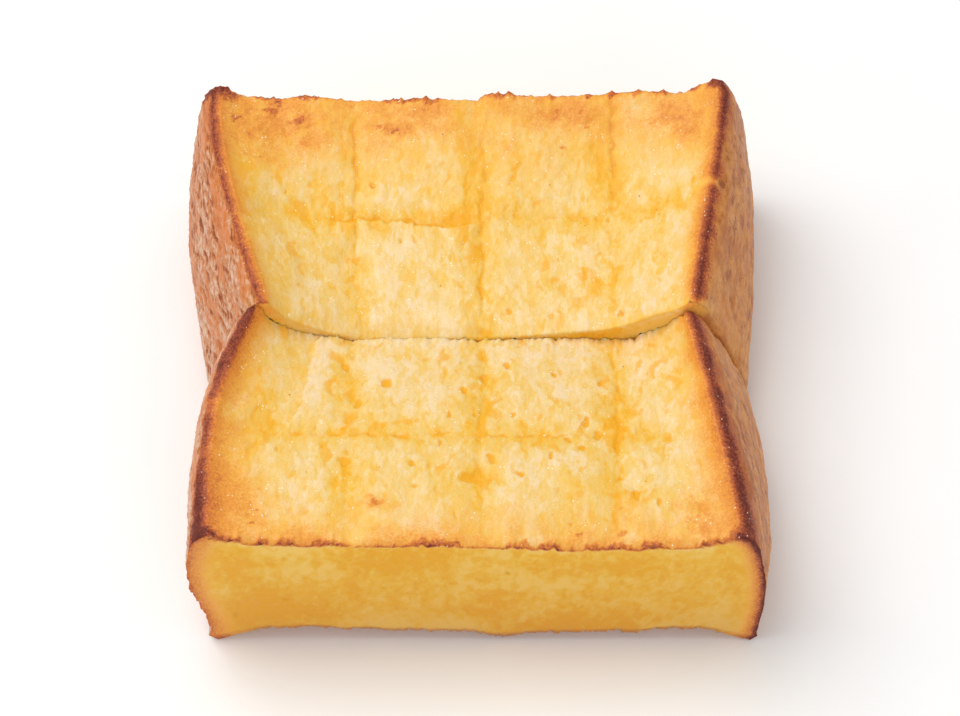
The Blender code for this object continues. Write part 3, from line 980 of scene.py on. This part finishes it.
# %% Node helpers
class Finish:
    """A new material with a Principled shader, and short ways to add the nodes that feed it."""

    def __init__(self, name, **constants):
        """`constants` are set on the shader's own sockets."""
        self.material = bpy.data.materials.new(name)
        self.material.use_nodes = True
        self.tree = self.material.node_tree
        self.shader = self.tree.nodes["Principled BSDF"]
        for socket, value in constants.items():
            self.shader.inputs[socket.replace("_", " ")].default_value = value
        self.place = self.add("ShaderNodeTexCoord").outputs["Object"]

    def add(self, kind, **settings):
        """A new node of that kind."""
        node = self.tree.nodes.new(kind)
        for key, value in settings.items():
            setattr(node, key, value)
        return node

    def feed(self, socket, source):
        """Links a socket to another node's output, or sets it to a plain value."""
        if hasattr(source, "is_output"):
            self.tree.links.new(source, socket)
        else:
            socket.default_value = source

    def mask(self, name):
        """A number that the mesh holds at its points."""
        return self.add("ShaderNodeAttribute", attribute_name=name).outputs["Fac"]

    def stretched(self, scale):
        """Object coordinates times `scale`, which draws a pattern out along an axis."""
        node = self.add("ShaderNodeMapping")
        self.feed(node.inputs["Vector"], self.place)
        node.inputs["Scale"].default_value = scale
        return node.outputs["Vector"]

    def noise(self, size, stretch=(1, 1, 1), detail=3.0, roughness=0.55):
        """Noise whose blobs are about `size` millimetres wide, from 0 to 1."""
        node = self.add("ShaderNodeTexNoise")
        self.feed(node.inputs["Vector"], self.stretched(stretch))
        node.inputs["Scale"].default_value = 1 / (size * MM)
        node.inputs["Detail"].default_value = detail
        node.inputs["Roughness"].default_value = roughness
        return node.outputs["Fac"]

    def dots(self, apart, radius, share):
        """1 in small round dots and 0 elsewhere.

        Dots are about `apart` millimetres apart. Their radius is that share of the distance, and
        only a `share` of the places hold one.
        """
        node = self.add("ShaderNodeTexVoronoi")
        self.feed(node.inputs["Vector"], self.place)
        node.inputs["Scale"].default_value = 1 / (apart * MM)
        split = self.add("ShaderNodeSeparateColor")
        self.feed(split.inputs["Color"], node.outputs["Color"])
        chosen = self.math("LESS_THAN", split.outputs["Red"], share)
        inside = self.spread(node.outputs["Distance"], radius * 0.5, radius, 1.0, 0.0)
        return self.math("MULTIPLY", chosen, inside)

    def flakes(self, size, stretch, bend):
        """A patchwork of flat flakes, each with its own number from -0.5 to 0.5.

        Flakes are about `size` millimetres wide, and noise bends their edges by `bend`.
        """
        warp = self.add("ShaderNodeTexNoise")
        place = self.stretched(stretch)
        self.feed(warp.inputs["Vector"], place)
        warp.inputs["Scale"].default_value = 1 / (size * 0.8 * MM)
        bent = self.add("ShaderNodeVectorMath", operation="MULTIPLY_ADD")
        self.feed(bent.inputs[0], warp.outputs["Color"])
        bent.inputs[1].default_value = (bend * MM,) * 3
        self.feed(bent.inputs[2], place)
        node = self.add("ShaderNodeTexVoronoi")
        self.feed(node.inputs["Vector"], bent.outputs["Vector"])
        node.inputs["Scale"].default_value = 1 / (size * MM)
        split = self.add("ShaderNodeSeparateColor")
        self.feed(split.inputs["Color"], node.outputs["Color"])
        return self.math("SUBTRACT", split.outputs["Red"], 0.5)

    def math(self, operation, first, second=0.0, third=0.0):
        """One sum, product or other operation."""
        node = self.add("ShaderNodeMath", operation=operation)
        for socket, source in zip(node.inputs, (first, second, third)):
            self.feed(socket, source)
        return node.outputs[0]

    def spread(self, source, low, high, to_low=0.0, to_high=1.0):
        """Stretches low..high to to_low..to_high, and stops at both ends."""
        node = self.add("ShaderNodeMapRange", interpolation_type="SMOOTHSTEP")
        for socket, value in zip(node.inputs, (source, low, high, to_low, to_high)):
            self.feed(socket, value)
        return node.outputs["Result"]

    def mix(self, share, first, second):
        """`first` where the share is 0, and `second` where it is 1."""
        node = self.add("ShaderNodeMix", data_type="RGBA")
        self.feed(node.inputs[0], share)
        self.feed(node.inputs[6], first)
        self.feed(node.inputs[7], second)
        return node.outputs[2]

    def ramp(self, share, *stops):
        """A colour for each share, by (position, colour) stops."""
        node = self.add("ShaderNodeValToRGB")
        elements = node.color_ramp.elements
        elements.remove(elements[1])
        elements[0].position, elements[0].color = stops[0]
        for position, colour in stops[1:]:
            elements.new(position).color = colour
        self.feed(node.inputs["Fac"], share)
        return node.outputs["Color"]

    def bump(self, height, depth, below=None):
        """Bump `depth` millimetres deep, on top of the bump `below`."""
        node = self.add("ShaderNodeBump")
        node.inputs["Distance"].default_value = depth * MM
        self.feed(node.inputs["Height"], height)
        if below is not None:
            self.feed(node.inputs["Normal"], below)
        return node.outputs["Normal"]


def srgb(red, green, blue):
    """A colour as screens state it, 0 to 255, turned into the linear values that light uses."""
    shares = np.array([red, green, blue]) / 255
    linear = np.where(shares <= 0.04045, shares / 12.92, ((shares + 0.055) / 1.055) ** 2.4)
    return (*(float(value) for value in linear), 1.0)


# %% [markdown]
# ## The finish of the bread
#
# Soaked crumb is pale cream where a cell wall stands up and deep egg yellow where custard
# gathered. Toasting takes it through orange to brown. The crust is tan and wrinkled, and its rim
# is nearly black-red. One material holds them all, because on real bread they run into each
# other with no seam. Light also travels a little way into moist crumb, which is what subsurface
# scattering gives.
# Some of its colours are painted light: glints on wet crumb, a sheen on the left crust, and shade or
# light beside the gap at the cut.

# %% Crumb colour
bread = Finish(
    "baked_bread",
    Subsurface_Weight=0.35,
    Subsurface_Radius=(1.0, 0.5, 0.18),
    Subsurface_Scale=0.002,
    Specular_IOR_Level=0.3,
    Coat_Weight=0.08,
    Coat_Roughness=0.2,
    IOR=1.4,
)
fibre = bread.noise(1.0, stretch=(1, 0.3, 1), detail=3.0)
grain = bread.noise(0.5, detail=2.0)
centred_fibre = bread.math("SUBTRACT", fibre, 0.5)
centred_grain = bread.math("SUBTRACT", grain, 0.5)
leaf = bread.flakes(2.0, (1, 0.5, 0.7), 2.4)
chip = bread.flakes(0.8, (1, 0.5, 0.7), 1.0)
tone = bread.math("MULTIPLY_ADD", centred_fibre, 0.35, bread.mask("tone"))
tone = bread.math("MULTIPLY_ADD", centred_grain, 0.22, tone)
tone = bread.math("MULTIPLY_ADD", leaf, 0.34, tone)
tone = bread.math("MULTIPLY_ADD", chip, 0.22, tone)
tone = bread.math("MULTIPLY_ADD", bread.flakes(0.45, (1, 0.4, 0.7), 0.5), 0.08, tone)
crumb = bread.ramp(
    tone,
    (0.00, srgb(238, 176, 42)),
    (0.18, srgb(238, 186, 72)),
    (0.38, srgb(237, 194, 98)),
    (0.55, srgb(237, 199, 118)),
    (0.75, srgb(238, 206, 141)),
    (1.00, srgb(240, 213, 168)),
)
soak = bread.math("MULTIPLY_ADD", centred_fibre, 0.6, bread.mask("soak"))
crumb = bread.mix(bread.spread(soak, 0.1, 0.9), crumb, srgb(240, 172, 34))
face = bread.ramp(
    tone,
    (0.00, srgb(237, 170, 20)),
    (0.50, srgb(240, 186, 54)),
    (1.00, srgb(243, 198, 92)),
)
crumb = bread.mix(bread.mask("knife"), crumb, face)

# %% Crust colour
streaky = bread.noise(0.8, stretch=(1, 0.18, 0.4), detail=3.0)
from_sheen_line = bread.math("ABSOLUTE", bread.math("SUBTRACT", streaky, 0.5))
wrinkle_and_painted_light = bread.math("MULTIPLY_ADD", centred_grain, 0.8, bread.mask("wrinkle_and_painted_light"))
wrinkle_and_painted_light = bread.math("MULTIPLY_ADD", chip, 0.3, wrinkle_and_painted_light)
# The pale pink top of these colours, on wrinkle ridges and along thin lines of streaky noise, is paler
# crust and also a painted highlight of wet sheen.
left_crust = bread.ramp(
    bread.math("MULTIPLY_ADD", from_sheen_line, -4.0, bread.math("ADD", wrinkle_and_painted_light, 0.37)),
    (0.05, srgb(150, 70, 24)),
    (0.30, srgb(186, 104, 50)),
    (0.55, srgb(204, 135, 84)),
    (0.78, srgb(204, 150, 114)),
    (1.00, srgb(220, 178, 150)),
)
right_crust = bread.ramp(
    wrinkle_and_painted_light,
    (0.00, srgb(160, 84, 34)),
    (0.40, srgb(206, 130, 56)),
    (0.90, srgb(222, 150, 74)),
)
stains = bread.spread(bread.noise(5.0, stretch=(1, 0.8, 1), detail=4.0), 0.48, 0.62, 0.0, 0.6)
right_crust = bread.mix(stains, right_crust, srgb(186, 104, 44))
specks = bread.math("MAXIMUM", bread.dots(1.5, 0.2, 0.25), bread.dots(3.1, 0.16, 0.35))
right_crust = bread.mix(bread.math("MULTIPLY", specks, 0.75), right_crust, srgb(140, 68, 28))
crust = bread.mix(bread.mask("pinker"), right_crust, left_crust)
streaks = bread.spread(bread.noise(4.0, stretch=(1, 0.2, 1), detail=3.0), 0.5, 0.6, 0.0, 0.7)
streaks = bread.math("MULTIPLY", streaks, bread.math("MULTIPLY_ADD", bread.mask("pinker"), 0.7, 0.3))
crust = bread.mix(streaks, crust, srgb(212, 124, 62))

# %% Browning over crumb and crust
crumb = bread.mix(bread.mask("crust"), crumb, crust)
# The underside's browning, and painted shade low on the outer cut face.
crumb = bread.mix(bread.mask("underside"), crumb, srgb(196, 124, 62))
heat = bread.mask("burning")
rough_heat = bread.math("MULTIPLY_ADD", bread.math("MULTIPLY", centred_grain, heat), 1.2, heat)
browned = bread.ramp(
    rough_heat,
    (0.08, srgb(243, 184, 74)),
    (0.20, srgb(238, 168, 68)),
    (0.34, srgb(226, 146, 60)),
    (0.50, srgb(200, 110, 52)),
    (0.64, srgb(170, 88, 50)),
    (0.80, srgb(140, 64, 42)),
    (1.00, srgb(102, 42, 30)),
)
sets_in = bread.math("MULTIPLY_ADD", bread.mask("crust"), 0.38, 0.02)
covers = bread.math("MULTIPLY_ADD", bread.mask("crust"), 0.34, 0.28)
colour = bread.mix(bread.spread(rough_heat, sets_in, covers), crumb, browned)

# %% Painted wet glints, gloss and fine relief
bare = bread.math("SUBTRACT", 1.0, bread.math("MAXIMUM", bread.mask("knife"), bread.mask("crust")))
# Painted highlights: small near-white dots, in patches on the bare crumb, stand for glints off wet
# crumb.
painted_glint_patches = bread.math("MULTIPLY", bare, bread.spread(bread.noise(3.2, detail=1.0), 0.54, 0.66, 0.0, 0.95))
painted_glints = bread.math("MULTIPLY", bread.dots(0.9, 0.24, 0.6), painted_glint_patches)
colour = bread.mix(painted_glints, colour, srgb(255, 240, 214))
colour = bread.mix(bread.math("MULTIPLY", bread.dots(4.2, 0.07, 0.3), bare), colour, srgb(190, 126, 64))
bread.feed(bread.shader.inputs["Base Color"], colour)
sheen = bread.math("MULTIPLY_ADD", heat, 0.3, bread.spread(fibre, 0.3, 0.7, 0.34, 0.56))
bread.feed(bread.shader.inputs["Roughness"], sheen)
rougher = bread.math("MULTIPLY_ADD", bread.mask("crust"), 1.0, 0.6)
fine = bread.bump(bread.math("MULTIPLY", grain, rougher), 0.17)
wrinkled = bread.math("MULTIPLY", fibre, rougher)
bread.feed(bread.shader.inputs["Normal"], bread.bump(wrinkled, 0.14, fine))
for piece in halves.values():
    piece.data.materials.append(bread.material)
print("bread nodes:", len(bread.tree.nodes))

# %% [markdown]
# ## Floor, light and camera
#
# A plain pale floor and soft light from all round keep the bread's own colours. A large soft
# lamp high on the left and behind gives the top its brightness and leaves the front face and
# the right crust a little darker.

# %% Floor
floor_mesh = bpy.data.meshes.new("floor")
reach = 3.0
floor_mesh.from_pydata(
    [(-reach, -reach, 0), (reach, -reach, 0), (reach, reach, 0), (-reach, reach, 0)],
    [],
    [(0, 1, 2, 3)],
)
floor = bpy.data.objects.new("floor", floor_mesh)
bpy.context.scene.collection.objects.link(floor)
paper = Finish("pale_floor", Roughness=0.8)
paper.feed(
    paper.shader.inputs["Base Color"],
    paper.ramp(paper.noise(40.0), (0.3, srgb(249, 249, 248)), (0.7, srgb(251, 251, 250))),
)
floor.data.materials.append(paper.material)

# %% Lamps
def soft_lamp(name, place, width, power, colour=(1.0, 1.0, 1.0)):
    """A square lamp of that width, in metres, that faces the slab."""
    lamp = bpy.data.lights.new(name, "AREA")
    lamp.size = width
    lamp.energy = power
    lamp.color = colour
    holder = bpy.data.objects.new(name, lamp)
    holder.location = place
    aim = Vector((0, 0, 0.02)) - Vector(place)
    holder.rotation_euler = aim.to_track_quat("-Z", "Y").to_euler()
    bpy.context.scene.collection.objects.link(holder)


soft_lamp("key", (-0.4, 0.2, 0.95), 0.8, 6.6)
soft_lamp("front_fill", (0.1, -1.2, 0.7), 0.9, 2.4)
world = bpy.data.worlds.new("studio")
world.use_nodes = True
world.node_tree.nodes["Background"].inputs["Color"].default_value = (1.0, 1.0, 1.0, 1.0)
world.node_tree.nodes["Background"].inputs["Strength"].default_value = 0.6
bpy.context.scene.world = world
bpy.context.scene.view_settings.view_transform = "Standard"

# %% Camera
CAMERA_RISE = math.radians(57.586)
CAMERA_DISTANCE = 1.0
camera_data = bpy.data.cameras.new("camera")
camera_data.lens = 163.2
camera = bpy.data.objects.new("camera", camera_data)
aim_at = Vector((1.3 * MM, 0.1 * MM, 23.0 * MM))
away = Vector((0, -math.cos(CAMERA_RISE), math.sin(CAMERA_RISE)))
camera.location = aim_at + away * CAMERA_DISTANCE
camera.rotation_euler = (-away).to_track_quat("-Z", "Y").to_euler()
bpy.context.scene.collection.objects.link(camera)
bpy.context.scene.camera = camera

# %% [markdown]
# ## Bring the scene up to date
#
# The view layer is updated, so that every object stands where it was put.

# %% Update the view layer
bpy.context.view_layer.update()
